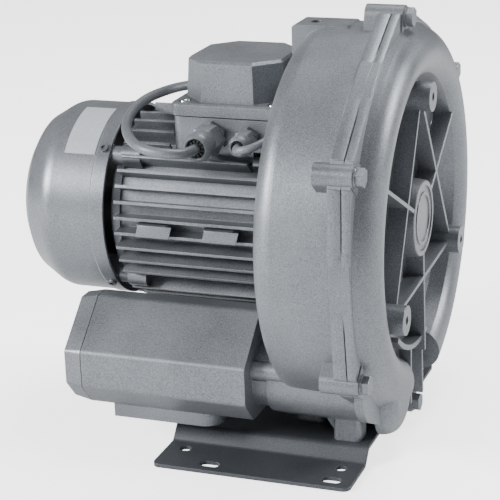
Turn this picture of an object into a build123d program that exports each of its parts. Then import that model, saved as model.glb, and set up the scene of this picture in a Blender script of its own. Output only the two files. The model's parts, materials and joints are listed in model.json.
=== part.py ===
from build123d import *
import os
from math import atan2, cos, degrees, hypot, radians, sin, sqrt, tan

# Side channel blower: a finned electric motor whose shaft carries a bladed
# impeller, closed in by a two-part casing with a ring-shaped channel.
# Lengths are millimetres. Every piece is drawn in machine axes: x runs along
# the shaft towards the cover and is 0 at the face of the cover's hub disc, y
# runs across, z runs up from the shaft axis. save() sets the machine on its foot.

# --- Machine and foot ---------------------------------------------------------
axis_height = 180.0        # floor to shaft axis
hub_from_foot = 106.0      # middle of the foot's round holes to the hub disc face
foot_length = 162.0
foot_half_width = 129.0
foot_sheet = 3.0
foot_plateau = 14.0        # top of the raised middle above the floor
foot_bend_y = 84.0         # where the flange turns up
foot_web_run = 10.0        # how far the web leans inwards on its way up
foot_bend_r = 5.0
foot_hole_r = 4.5
foot_hole_dx = 130.0
foot_hole_dy = 192.0
foot_slot_dx = 100.0
foot_slot_dy = 235.0
foot_slot_shift = 14.0     # middle of the slots, towards the cover
foot_slot_length = 16.0

# --- Impeller and side channel --------------------------------------------------
impeller_r = 146.0
impeller_width = 48.0
blade_count = 44
blade_t = 2.4
blade_root_r = 114.0
impeller_web_t = 8.0
impeller_tip_t = 3.0
impeller_hub_r = 30.0
impeller_hub_length = 38.0
running_gap = 0.4          # impeller to casing, all round
channel_r = 132.5          # middle of the channel
channel_half = 14.5        # half of the channel's width along the radius
channel_depth = 18.5       # how deep the channel goes on each side of the impeller
channel_start = -66.0      # the channel's ends, degrees from +y towards +z
channel_end = 242.0

# --- Casing ---------------------------------------------------------------------
joint_x = -20.0            # joint between the two halves
cast_wall = 5.7
casing_r = 154.5           # joint flange
drum_r = 152.0             # outer wall behind the flange
shoulder_r = 18.0
flange_t = 10.5            # flange of the motor half
cover_flange_t = 7.0
cover_plate_t = 4.5
recess_r = 108.0           # floor of the cover's dished middle
recess_lip_r = 115.0
recess_lip_x = -2.0
crown_x = 3.5              # highest point of the cover's ring bulge
disc_wall = 8.0
back_ring_r = 84.0         # ring on the back that the motor bolts to
back_bulge_r = 110.0       # inner edge of the ring bulge on the back
joint_gasket_t = 0.5
bolt_circle_r = 161.0
bolt_count = 6
bolt_first = 93.0
bolt_r = 4.0
bolt_head_af = 13.0
bolt_head_t = 5.3
washer_t = 1.6
lug_r = 9.0
lug_length = 22.0
screw_fit = 0.1            # round a screw's shank
hub_disc_r = 30.0
hub_wall = 5.0
boss_circle_r = 99.5
boss_x = 8.7
boss_r = 11.5
boss_hole_r = 3.4
boss_hole_depth = 22.0
boss_first = 93.0
rib_t = 3.0
rib_top_x = -0.5
lip_arc_r = 102.0
eye_length = 46.0
eye_half = 16.0
eye_top = 153.0
eye_drop = 25.0
eye_hole_r = 5.1
eye_hole_depth = 18.0

# --- Ducts and silencers --------------------------------------------------------
duct_y = -76.0             # passage between channel and silencer, near side
duct_z = -113.0
duct_bore_r = 20.0
duct_r = 28.0
duct_foot_y = -34.0        # second centre of the duct's rounded outline
duct_foot_z = -132.0
duct_length = 5.0          # how far the duct stands behind the casing
neck_gap = 0.5             # flat seal between duct and silencer
neck_length = 12.0
stud_y = -98.0             # screw boss beside the duct
stud_z = -101.5
stud_boss_r = 7.5
stud_r = 3.0
silencer_length = 138.5
silencer_cap_length = 15.0
silencer_wall = 4.0
silencer_out = 118.0       # outer face
silencer_in = 46.0         # inner face
silencer_bottom = -143.0
silencer_top = -60.0
silencer_side_top = -94.5
silencer_side_bottom = -124.0
silencer_ridge = 78.0
silencer_inner_ridge = 62.0
cap_draft = 3.0
pad_length = 90.0
pad_bottom = -154.0
port_r = 22.4              # core of the G 1 1/2 thread
port_depth = 22.0
port_collar_r = 25.5
liner_t = 6.0

# --- Motor ----------------------------------------------------------------------
housing_length = 138.0
barrel_r = 65.0
bore_r = 61.0
fin_tip_r = 79.0
fin_pitch = 9.25
fin_t = 2.4
mount_ear_r = 72.0         # circle of the screws at both ends of the housing
ear_boss_r = 7.5
ear_front_length = 22.0
ear_rear_length = 16.0
ear_screw_r = 3.0
shield_screw_r = 2.5         # screws of the rear end shield
shield_screw_head_r = 4.2
pad_x = (-198.5, -142.5)   # middles of the flat pads across the fins
pad_half_length = 12.5
pad_half_height = 3.3
pad_out = 82.3
stator_length = 80.0
stator_x = -160.0
stator_bore_r = 35.0
slot_count = 24
slot_depth = 14.0
slot_w = 4.6
winding_fit = 0.3
winding_overhang = 20.0
winding_out_r = 56.0
air_gap = 0.4
shaft_r = 15.0             # under the rotor core
front_seat_r = 12.5
impeller_seat_r = 12.0
rear_seat_r = 10.0
fan_seat_r = 8.5
front_bearing_r = 26.0
front_bearing_w = 15.0
rear_bearing_r = 23.5
rear_bearing_w = 14.0
ring_t = 3.6               # section of the bearing rings
ball_fit = 0.15
seal_w = 5.0
seal_r = 20.0
shield_t = 8.0
shield_hub_wall = 6.0
spigot_length = 6.0
key_w = 8.0
key_length = 25.0
key_depth = 4.0            # in the shaft
key_height = 7.0

# --- Fan and cowl ---------------------------------------------------------------
cowl_gap = 9.6             # fin ends to the cowl's rim
cowl_r = 78.0
cowl_sheet = 1.5
cowl_straight = 52.5
cowl_length = 80.4
cowl_cone_r = 66.0
cowl_cone_length = 20.0
cowl_end_r = 54.0
cowl_rim_lift = 1.0
cowl_rim_length = 11.0
fan_r = 62.0
fan_hub_r = 16.0
fan_width = 24.0
fan_blades = 8
fan_blade_t = 2.2
fan_x = -284.0
cowl_screw_x = -246.0

# --- Terminal box ---------------------------------------------------------------
box_x0 = -190.0
box_x1 = -99.0
box_half = 48.0
box_wall = 3.5
box_floor_t = 3.0
box_corner_r = 7.0
box_top = 83.7
box_seat_r = 68.0          # smooth saddle on top of the barrel
lid_gasket_t = 1.2
lid_half = 49.5
lid_plate = 9.8
lid_wall = 3.0
dome_half_x = 41.3
dome_half_y = 42.8
dome_corner = 19.7
dome_top = 126.7
dome_taper = 4.0
lid_screw_x = (-181.8, -108.5)
lid_screw_y = 39.6
lid_screw_r = 2.5

# --- Cable glands and leads -------------------------------------------------------
gland_z = 69.0
gland_flange_t = 6.0
large_gland_x = -156.0
small_gland_x = -126.0
large_lead_r = 4.0
small_lead_r = 3.0
lead_fit = 0.1
capacitor_x = (-214.0, -126.0)
capacitor_half = 26.0
capacitor_depth = 44.0
capacitor_wall = 3.0
capacitor_r = 8.5
pan_head_t = 2.4

mirror_y = Plane.XZ

# --- Stations along the shaft, worked out from the sizes above ---------------------
cavity_x = joint_x - impeller_width - 2 * running_gap
channel_back_x = cavity_x - channel_depth
back_x = channel_back_x - cast_wall
front_bearing_x = back_x + 1.5
housing_x = back_x - housing_length
rear_bearing_x = housing_x - 4.0
cowl_x = housing_x - cowl_gap
impeller_x = joint_x - running_gap - impeller_width / 2
impeller_hub_x = cavity_x + running_gap + impeller_hub_length
floor_x = joint_x + cover_plate_t
saddle_z = -axis_height + foot_plateau
duct_x = back_x - duct_length
silencer_x = duct_x - neck_gap - neck_length
cap_x = silencer_x - silencer_length


# --- Helpers ----------------------------------------------------------------------
def save(name, *solids):
    """Write one node, moved from machine axes to the foot's frame."""
    pieces = []
    for item in solids:
        pieces.extend(item.solids())
    place = Pos(hub_from_foot, 0, axis_height)
    shape = place * (pieces[0] if len(pieces) == 1 else Compound(children=pieces))
    export_step(shape, f"parts/{name}.step")
    sizes[name] = shape.bounding_box()


def rod(r, x0, x1, y=0.0, z=0.0):
    """Round bar along x."""
    return Pos(x0, y, z) * Rot(0, 90, 0) * Cylinder(r, x1 - x0, align=(Align.CENTER, Align.CENTER, Align.MIN))


def tube(r_out, r_in, x0, x1, y=0.0, z=0.0):
    return rod(r_out, x0, x1, y, z) - rod(r_in, x0 - 1, x1 + 1, y, z)


def hexagon(af, x0, x1, y=0.0, z=0.0):
    """Hexagon bar along x."""
    prism = extrude(RegularPolygon(af / 2, 6, major_radius=False), x1 - x0)
    return Pos(x0, y, z) * Rot(0, 90, 0) * prism


def block(x0, x1, y0, y1, z0, z1):
    return Pos(x0, y0, z0) * Box(x1 - x0, y1 - y0, z1 - z0, align=Align.MIN)


def spin(points, angle=360.0, start=0.0):
    """Turn an outline of (x, r) or (x, r, corner radius) points about the shaft.
    start is in degrees from +y towards +z."""
    corners = [(p[0], p[1]) for p in points]
    radii = [p[2] if len(p) > 2 else 0.0 for p in points]
    face = make_face(Plane.XY * FilletPolyline(*corners, radius=radii, close=True))
    return Rot(start, 0, 0) * revolve(face, Axis.X, angle)


def ring_place(r, angle):
    """A point on a circle about the shaft, as (y, z)."""
    return r * cos(radians(angle)), r * sin(radians(angle))


def extrude_x(points, x0, x1):
    """Prism along x from an outline of (y, z) or (y, z, corner radius) points."""
    corners = [(p[0], p[1]) for p in points]
    radii = [p[2] if len(p) > 2 else 0.0 for p in points]
    face = make_face(Plane.YZ.offset(x0) * FilletPolyline(*corners, radius=radii, close=True))
    return extrude(face, x1 - x0, dir=(1, 0, 0))


def both_sides(shape):
    return [shape, mirror(shape, about=mirror_y)]


def screw(r, head_r, head_t, length, sides=0):
    """Screw along -x with the seat of its head at x = 0."""
    head = hexagon(head_r * 2, 0, head_t) if sides else rod(head_r, 0, head_t)
    if not sides:
        head -= hexagon(head_r, head_t * 0.45, head_t + 1)
    return head + rod(r, -length, 0.01)


# --- Foot ---------------------------------------------------------------------------
def foot_bracket():
    half = foot_sheet / 2
    web_top = foot_bend_y - foot_web_run
    path = [
        (-foot_half_width, half), (-foot_bend_y, half), (-web_top, foot_plateau - half),
        (web_top, foot_plateau - half), (foot_bend_y, half), (foot_half_width, half),
    ]
    profile = trace(FilletPolyline(*path, radius=foot_bend_r), foot_sheet)
    sheet = extrude(Plane.YZ.offset(-foot_length / 2) * profile, foot_length, dir=(1, 0, 0))
    corners = sheet.edges().filter_by(Axis.Z).filter_by(lambda e: abs(e.center().Y) > foot_half_width - 1)
    sheet = fillet(corners, 6)
    holes = GridLocations(foot_hole_dx, foot_hole_dy, 2, 2)
    slots = GridLocations(foot_slot_dx, foot_slot_dy, 2, 2)
    sheet -= holes * Cylinder(foot_hole_r, 4 * foot_sheet)
    slot = extrude(SlotOverall(foot_slot_length, 2 * foot_hole_r), 2 * foot_sheet, both=True)
    sheet -= Pos(foot_slot_shift, 0, 0) * slots * slot
    for x, y in foot_bolt_places():
        sheet -= Pos(x + hub_from_foot, y, 0) * Cylinder(bolt_r + 0.5, 4 * foot_plateau)
    notch_y = ring_place(bolt_circle_r, bolt_first + 180)[0]
    notch_x = hub_from_foot + joint_x - flange_t - 1
    sheet -= block(notch_x, foot_length, notch_y - lug_r - 3, notch_y + lug_r + 3, 0, foot_plateau + 1)
    return Pos(-hub_from_foot, 0, -axis_height) * sheet


def foot_bolt_places():
    """Screws from the plateau up into the casing's foot lugs, as (x, y)."""
    return [(-44.5, -60.0), (-44.5, 60.0), (-84.0, -32.0), (-84.0, 32.0)]


def foot_bolts():
    bolts = []
    for x, y in foot_bolt_places():
        bolt = Rot(0, 90, 0) * screw(bolt_r, bolt_head_af / 2, bolt_head_t, 17, sides=6)
        bolts.append(Pos(x, y, saddle_z - foot_sheet) * bolt)
    return bolts


# --- Casing ---------------------------------------------------------------------------
def channel_tool(x, direction):
    """The channel's hollow on one side of the impeller: half an ellipse, swept
    round the shaft between its two ends, with rounded ends."""
    oval = Ellipse(channel_depth, channel_half)
    keep = Rectangle(channel_depth, 2 * channel_half + 2, align=(Align.MIN, Align.CENTER))
    half = Pos(0, channel_r) * (oval & keep)
    if direction < 0:
        half = mirror(half, about=Plane.YZ)
    sweep_angle = channel_end - channel_start
    return Pos(x, 0, 0) * (Rot(channel_start, 0, 0) * revolve(half, Axis.X, sweep_angle))


def duct_outline(grow=0.0):
    """Rounded outline of the duct on the near side: two circles and the band between."""
    a = (duct_y, duct_z)
    b = (duct_foot_y, duct_foot_z)
    circles = [Pos(*a) * Circle(duct_r + grow), Pos(*b) * Circle(duct_r + 2 + grow)]
    return make_hull(circles[0].edges() + circles[1].edges())


def bolt_angles():
    return [bolt_first + 360 / bolt_count * i for i in range(bolt_count)]


def casing_motor_side():
    hub_r = front_bearing_r + 8
    body = spin([
        (cavity_x, seal_r), (cavity_x, impeller_r + running_gap),
        (joint_x, impeller_r + running_gap), (joint_x, casing_r),
        (joint_x - flange_t, casing_r, 1.5), (joint_x - flange_t, drum_r + 0.8, 1.0),
        (back_x, drum_r - 1.5, shoulder_r), (back_x, back_bulge_r, 8),
        (cavity_x - disc_wall, back_bulge_r - 5, 4), (cavity_x - disc_wall, back_ring_r + 3, 4),
        (back_x, back_ring_r), (back_x, bore_r - 1), (cavity_x - disc_wall, bore_r - 4, 4),
        (cavity_x - disc_wall, hub_r + 2, 4), (back_x, hub_r), (back_x, front_bearing_r),
        (front_bearing_x + front_bearing_w, front_bearing_r),
        (front_bearing_x + front_bearing_w, seal_r),
    ])
    ducts = []
    for side in both_sides(extrude(Plane.YZ.offset(duct_x) * duct_outline(), joint_x - duct_x, dir=(1, 0, 0))):
        ducts.append(side)
    boss = rod(stud_boss_r, silencer_x, cavity_x, stud_y, stud_z)
    extra = ducts + both_sides(boss)
    over_foot = block(duct_x, joint_x - flange_t, -30, 30, saddle_z - 20, saddle_z + 0.5)
    for angle in bolt_angles():
        y, z = ring_place(bolt_circle_r, angle)
        y2, z2 = ring_place(casing_r - lug_r, angle)
        lug = make_hull((Pos(y, z) * Circle(lug_r)).edges() + (Pos(y2, z2) * Circle(lug_r + 3)).edges())
        extra.append(extrude(Plane.YZ.offset(joint_x - lug_length) * lug, lug_length, dir=(1, 0, 0)) - over_foot)
    for x, y in foot_bolt_places():
        edge = abs(y) > 50
        lug_h = 24 if edge else 12
        foot_lug = Pos(x, y, saddle_z) * extrude(RectangleRounded(23, 20, 5), lug_h)
        if edge:
            gusset = Plane.XZ * Polygon((x - 28, saddle_z + 30), (x - 9, saddle_z + 2), (x, saddle_z + 2),
                                        (x, saddle_z + 30), align=None)
            foot_lug += Pos(0, y, 0) * extrude(gusset, 4, both=True)
        extra.append(foot_lug)
    eye = Pos(0, 0, 0) * extrude(
        Plane.XZ * Pos(back_x - 7.5, eye_top) * RectangleRounded(eye_length, eye_drop, 3, align=(Align.MIN, Align.MAX)),
        eye_half, both=True)
    extra.append(eye)
    pump_room = rod(impeller_r + running_gap, cavity_x, joint_x + 1)
    body = body + [item - pump_room for item in extra]
    body -= tube(2 * casing_r, casing_r + 40, duct_x - 60, joint_x + 1)
    body -= channel_tool(cavity_x, -1)
    body -= rod(seal_r, cavity_x - seal_w - 3, cavity_x + 1)
    body -= rod(front_bearing_r, back_x - 1, front_bearing_x + front_bearing_w)
    body -= rod(front_bearing_r - 4, back_x, cavity_x - seal_w)
    for hole in both_sides(rod(duct_bore_r, duct_x - 1, channel_back_x + channel_depth * 0.75, duct_y, duct_z)):
        body -= hole
    for hole in both_sides(rod(stud_r + screw_fit, silencer_x - 1, silencer_x + 30, stud_y, stud_z)):
        body -= hole
    for angle in bolt_angles():
        y, z = ring_place(bolt_circle_r, angle)
        body -= rod(bolt_r + screw_fit, joint_x - lug_length - 1, joint_x + 1, y, z)
    for x, y in foot_bolt_places():
        body -= Pos(x, y, saddle_z) * Cylinder(bolt_r + screw_fit, 30)
    for angle in ear_angles():
        y, z = ring_place(mount_ear_r, angle)
        body -= rod(ear_screw_r + screw_fit, back_x - 1, back_x + 13, y, z)
    body -= Pos(back_x - 7.5 + eye_length / 3, 0, eye_top) * Cylinder(eye_hole_r, 2 * eye_hole_depth)
    return body


def casing_cover():
    pocket_r = hub_disc_r - hub_wall
    body = spin([
        (joint_x, 0), (joint_x, impeller_r + running_gap), (joint_x, casing_r),
        (joint_x + cover_flange_t, casing_r, 1.0), (joint_x + cover_flange_t, casing_r - 6),
        (floor_x, casing_r - 6.5), (floor_x, hub_disc_r + 2, 3), (0, hub_disc_r, 1.0), (0, 0),
    ][:1] + [
        (joint_x, casing_r), (joint_x + cover_flange_t, casing_r, 1.0),
        (joint_x + cover_flange_t, casing_r - 6), (floor_x, casing_r - 6.5),
        (floor_x, hub_disc_r + 2, 3), (0, hub_disc_r, 1.0), (0, 0),
    ])
    bulge = make_face([
        Line((floor_x - 1, recess_r), (floor_x, recess_r)),
        Line((floor_x, recess_r), (recess_lip_x - 1.5, recess_lip_r - 1)),
        ThreePointArc((recess_lip_x - 1.5, recess_lip_r - 1), (crown_x, channel_r), (-9, casing_r - 5)),
        Line((-9, casing_r - 5), (joint_x + cover_flange_t, casing_r - 2.5)),
        Line((joint_x + cover_flange_t, casing_r - 2.5), (floor_x - 1, casing_r - 2.5)),
        Line((floor_x - 1, casing_r - 2.5), (floor_x - 1, recess_r)),
    ])
    swept = Rot(channel_start - 8, 0, 0) * revolve(bulge, Axis.X, channel_end - channel_start + 16)
    lobe = extrude(Plane.YZ.offset(joint_x) * lobe_outline(), cover_flange_t, dir=(1, 0, 0))
    dome = loft([
        Plane.YZ.offset(joint_x + 1) * Pos(-50, -132) * Circle(31),
        Plane.YZ.offset(-9) * Pos(-50, -131) * Circle(29),
        Plane.YZ.offset(recess_lip_x) * Pos(-53, -126) * Circle(18),
    ])
    body = body + [swept, lobe, dome]
    for angle in bolt_angles():
        y, z = ring_place(bolt_circle_r, angle)
        y2, z2 = ring_place(casing_r - lug_r, angle)
        lug = make_hull((Pos(y, z) * Circle(lug_r)).edges() + (Pos(y2, z2) * Circle(lug_r + 3)).edges())
        body += extrude(Plane.YZ.offset(joint_x) * lug, cover_flange_t + 1, dir=(1, 0, 0))
        seat = rod(bolt_head_af * 0.62, joint_x + cover_flange_t + 1, 10, y, z)
        body -= seat
    ribs = []
    boss_angles = [boss_first + 120 * i for i in range(3)]
    for angle in boss_angles:
        y, z = ring_place(boss_circle_r, angle)
        ribs.append(rod(boss_r, floor_x - 1, boss_x, y, z))
        y2, z2 = ring_place(boss_circle_r, angle + 120)
        span = hypot(y2 - y, z2 - z)
        turn = degrees(atan2(z2 - z, y2 - y))
        bar = block(floor_x - 1, rib_top_x, 0, span, -rib_t / 2, rib_t / 2)
        ribs.append(Pos(0, y, z) * Rot(turn, 0, 0) * bar)
        reach = recess_lip_r - 2
        bar = block(floor_x - 1, rib_top_x, hub_disc_r - 2, reach, -rib_t / 2, rib_t / 2)
        ribs.append(Rot(angle + 60, 0, 0) * bar)
    rim_drop = block(floor_x - 1, recess_lip_x - 1, hub_disc_r, casing_r - 3, -rib_t / 2, rib_t / 2)
    ribs.append(Rot(boss_first + 180, 0, 0) * rim_drop)
    ribs.append(block(floor_x - 1, recess_lip_x - 1, -28 - rib_t / 2, -28 + rib_t / 2, -146, -lip_arc_r + 5))
    arc = spin([(floor_x - 1, lip_arc_r - 2), (recess_lip_x - 1, lip_arc_r - 2),
                (recess_lip_x - 1, lip_arc_r + 2), (floor_x - 1, lip_arc_r + 2)], 52, -130)
    ribs.append(arc)
    body = body + ribs
    body -= channel_tool(joint_x, 1)
    body -= rod(pocket_r, joint_x - 1, -hub_wall)
    for angle in boss_angles:
        y, z = ring_place(boss_circle_r, angle)
        body -= rod(boss_hole_r, boss_x - boss_hole_depth, boss_x + 1, y, z)
    for angle in bolt_angles():
        y, z = ring_place(bolt_circle_r, angle)
        body -= rod(bolt_r + screw_fit, joint_x - 1, joint_x + cover_flange_t + 2, y, z)
    body -= spin([(-1.2, 0), (1, 0), (1, hub_disc_r - 4), (-1.2, hub_disc_r - 4)])
    body += tube(hub_disc_r - 9, hub_disc_r - 11.5, -1.25, -0.2)
    return body


def lobe_outline():
    """Foot of the joint flange round the end of the channel, near side."""
    near = Pos(-95, -100) * Circle(33)
    low = Pos(-30, -132) * Circle(32)
    return make_hull(near.edges() + low.edges())


def casing_bolts():
    bolts = []
    washers = []
    seat = joint_x + cover_flange_t + 1
    for angle in bolt_angles():
        y, z = ring_place(bolt_circle_r, angle)
        bolt = screw(bolt_r, bolt_head_af / 2, bolt_head_t, seat + washer_t - joint_x + lug_length - 4, sides=6)
        bolts.append(Pos(seat + washer_t, y, z) * bolt)
        washers.append(tube(bolt_head_af * 0.6, bolt_r + screw_fit, seat, seat + washer_t, y, z))
    return bolts, washers


# --- Silencers ------------------------------------------------------------------------
def silencer_outline(inset=0.0):
    """Section of the near silencer across the machine, as (y, z, corner radius)."""
    r = max(1.0, 6 - inset)
    return [
        (-silencer_out + inset, silencer_side_bottom + inset * 0.4, r),
        (-silencer_out + inset, silencer_side_top - inset * 0.4, r),
        (-silencer_ridge + inset * 0.2, silencer_top - inset, r),
        (-silencer_inner_ridge - inset * 0.4, silencer_top - inset, r),
        (-silencer_in - inset, silencer_top - 18 - inset * 0.4, r),
        (-silencer_in - inset, silencer_bottom + inset, r),
        (-silencer_out + 17 + inset * 0.4, silencer_bottom + inset, r),
    ]


def silencer():
    """Near silencer: box, flange with the threaded port, liner and screws."""
    body = extrude_x(silencer_outline(), cap_x + 0.6, silencer_x)
    pad_y = -85.0
    pad = block(silencer_x - 29.5 - pad_length, silencer_x - 45, pad_y - 15, pad_y + 15, pad_bottom, silencer_bottom + 5)
    pad += Pos(silencer_x - 45, pad_y, pad_bottom) * Cylinder(15, silencer_bottom + 5 - pad_bottom,
                                                             align=(Align.CENTER, Align.CENTER, Align.MIN))
    body += pad
    body += rod(duct_bore_r + 5, silencer_x - 1, duct_x - neck_gap, duct_y, duct_z)
    body -= extrude_x(silencer_outline(silencer_wall), cap_x - 1, silencer_x - silencer_wall)
    body -= rod(duct_bore_r, silencer_x - 8, duct_x, duct_y, duct_z)
    body -= rod(stud_boss_r + 0.3, silencer_x, duct_x, stud_y, stud_z)
    body -= rod(stud_r + screw_fit, silencer_x - 8, silencer_x + 1, stud_y, stud_z)
    port_y = -(silencer_out + silencer_in) / 2
    port_z = (silencer_top + silencer_bottom) / 2 - 4.5
    cap = loft([
        Plane.YZ.offset(cap_x) * outline_face(silencer_outline()),
        Plane.YZ.offset(cap_x - silencer_cap_length) * outline_face(silencer_outline(cap_draft)),
    ])
    cap += rod(port_collar_r, cap_x - 1, cap_x + port_depth - silencer_cap_length, port_y, port_z)
    cap -= rod(port_r, cap_x - silencer_cap_length - 1, cap_x + 60, port_y, port_z)
    places = [(-silencer_out + 9, silencer_side_bottom + 3), (-silencer_in - 9, silencer_bottom + 9),
              (-silencer_in - 17, silencer_top - 9)]
    screws = []
    for y, z in places:
        body += rod(5, cap_x + 0.6, cap_x + 26, y, z) & extrude_x(silencer_outline(0.5), cap_x, cap_x + 40)
        body -= rod(2.5 + screw_fit, cap_x - 1, cap_x + 20, y, z)
        cap -= rod(2.5 + screw_fit, cap_x - silencer_cap_length - 1, cap_x + 30, y, z)
        cap -= rod(5, cap_x - silencer_cap_length - 1, cap_x - 4, y, z)
        bolt = Rot(0, 180, 0) * screw(2.5, 4.2, 4, 18)
        screws.append(Pos(cap_x - 4, y, z) * bolt)
    gasket = extrude_x(silencer_outline(0.8), cap_x, cap_x + 0.6)
    gasket -= extrude_x(silencer_outline(silencer_wall), cap_x - 1, cap_x + 1)
    liner = extrude_x(silencer_outline(silencer_wall + 0.4), cap_x + 28, silencer_x - silencer_wall - 1)
    liner -= extrude_x(silencer_outline(silencer_wall + liner_t), cap_x, silencer_x)
    stud = screw(stud_r, 5, 3, 30)
    stud = Pos(silencer_x - silencer_wall, stud_y, stud_z) * Rot(0, 180, 0) * stud
    seal = tube(duct_bore_r + 1.5, duct_bore_r, duct_x - neck_gap, duct_x, duct_y, duct_z)
    seal -= rod(stud_boss_r + 0.3, silencer_x, duct_x + 1, stud_y, stud_z)
    return body, cap, liner, screws + [stud], [gasket, seal]


def outline_face(points):
    corners = [(p[0], p[1]) for p in points]
    return make_face(Plane.XY * FilletPolyline(*corners, radius=[p[2] for p in points], close=True))


# --- Motor ------------------------------------------------------------------------------
def ear_angles():
    return [45, 135, 225, 315]


def ear_outline(angle, grow=0.0):
    """Section of a screw ear: a round boss and its foot on the barrel."""
    tip = Pos(*ring_place(mount_ear_r, angle)) * Circle(ear_boss_r + grow)
    root = Pos(*ring_place(barrel_r - 3, angle)) * Circle(ear_boss_r + 1 + grow)
    return make_hull(tip.edges() + root.edges())


def fin_angles():
    """Fins in step from the flanks upwards and downwards, but none behind the screw ears."""
    angles = []
    half_pitch = fin_pitch / 2
    for i in range(int(90 / fin_pitch)):
        up = half_pitch + fin_pitch * i
        if abs(up - 45) > 4.5:
            angles.extend([up, -up, 180 - up, 180 + up])
    return angles


def motor_housing():
    barrel = Circle(barrel_r)
    fins = Sketch()
    for angle in fin_angles():
        fin = Rectangle(fin_tip_r - barrel_r + 4, fin_t, align=(Align.MAX, Align.CENTER))
        fins += Rot(0, 0, angle) * Pos(fin_tip_r, 0) * fin
    under_box = (Circle(fin_tip_r + 2) - Circle(barrel_r - 0.5)) & Pos(0, fin_tip_r) * Rectangle(
        2 * (box_half + gland_flange_t) + 1, 60)
    saddle = Circle(box_seat_r) & Pos(0, box_seat_r) * Rectangle(2 * box_half - 8, 90)
    body = extrude(Plane.YZ.offset(housing_x) * (barrel + fins), housing_length, dir=(1, 0, 0))
    body -= extrude(Plane.YZ.offset(box_x0 - 2) * under_box, box_x1 - box_x0 + 4, dir=(1, 0, 0))
    body += extrude(Plane.YZ.offset(box_x0 + 2) * saddle, box_x1 - box_x0 - 4, dir=(1, 0, 0))
    for angle in ear_angles():
        ear = ear_outline(angle)
        body += extrude(Plane.YZ.offset(back_x - ear_front_length) * ear, ear_front_length, dir=(1, 0, 0))
        body += extrude(Plane.YZ.offset(housing_x) * ear, ear_rear_length, dir=(1, 0, 0))
    for x in pad_x:
        outline = Plane.XY * Pos(x, 0) * Polygon(
            (-pad_half_length, barrel_r - 2), (-pad_half_length, pad_out - 3), (-pad_half_length + 3, pad_out),
            (pad_half_length - 3, pad_out), (pad_half_length, pad_out - 3), (pad_half_length, barrel_r - 2),
            align=None)
        pad = extrude(outline, pad_half_height, both=True)
        body = body + both_sides(pad)
    body -= rod(bore_r, housing_x - 1, back_x + 1)
    for angle in ear_angles():
        y, z = ring_place(mount_ear_r, angle)
        body -= rod(ear_screw_r + screw_fit, back_x - ear_front_length - 1, back_x + 1, y, z)
        body -= rod(shield_screw_r + screw_fit, housing_x - 1, housing_x + ear_rear_length - 3, y, z)
    cable_hole = Pos((box_x0 + box_x1) / 2, 0, barrel_r) * extrude(SlotOverall(36, 20), 16, both=True)
    body -= cable_hole
    for x, y in box_screw_places():
        body -= Pos(x, y, barrel_r - 10) * Cylinder(2 + screw_fit, 60)
    for x in pad_x:
        body = body - both_sides(Pos(x, pad_out, 0) * Rot(90, 0, 0) * Cylinder(2 + screw_fit, 24))
    return body


def housing_screws():
    """Socket screws: four into the casing, four that hold the rear end shield."""
    front = []
    rear = []
    for angle in ear_angles():
        y, z = ring_place(mount_ear_r, angle)
        place = Pos(back_x - ear_front_length, y, z) * Rot(0, 180, 0)
        front.append(place * screw(ear_screw_r, 5, 6, ear_front_length + 11))
        place = Pos(housing_x - shield_t, y, z) * Rot(0, 180, 0)
        rear.append(place * screw(shield_screw_r, shield_screw_head_r, 5, shield_t + 10))
    return front, rear


def stator():
    inner_slot = stator_bore_r + 2
    x0 = stator_x - stator_length / 2
    x1 = stator_x + stator_length / 2
    disc = Circle(bore_r) - Circle(stator_bore_r)
    slot = Rectangle(slot_depth, slot_w, align=(Align.MIN, Align.CENTER))
    slots = Sketch()
    bars = Sketch()
    bar = Rectangle(slot_depth - 2 * winding_fit, slot_w - 2 * winding_fit, align=(Align.MIN, Align.CENTER))
    for i in range(slot_count):
        turn = Rot(0, 0, 360 / slot_count * i)
        slots += turn * Pos(inner_slot, 0) * slot
        slots += turn * Pos(stator_bore_r - 1, 0) * Rectangle(4, 1.6, align=(Align.MIN, Align.CENTER))
        bars += turn * Pos(inner_slot + winding_fit, 0) * bar
    core = extrude(Plane.YZ.offset(x0) * (disc - slots), stator_length, dir=(1, 0, 0))
    coils = extrude(Plane.YZ.offset(x0 - 1) * bars, stator_length + 2, dir=(1, 0, 0))
    inner = inner_slot + winding_fit
    ring_x = winding_overhang + 1
    foot_r = inner + 1
    front = spin([(x1 + 0.5, foot_r), (x1 + ring_x, foot_r, 4), (x1 + ring_x, winding_out_r, 6),
                  (x1 + 0.5, winding_out_r - 4)])
    rear = spin([(x0 - 0.5, foot_r), (x0 - 0.5, winding_out_r - 4), (x0 - ring_x, winding_out_r, 6),
                 (x0 - ring_x, foot_r, 4)])
    return core, coils + front + rear


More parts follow.
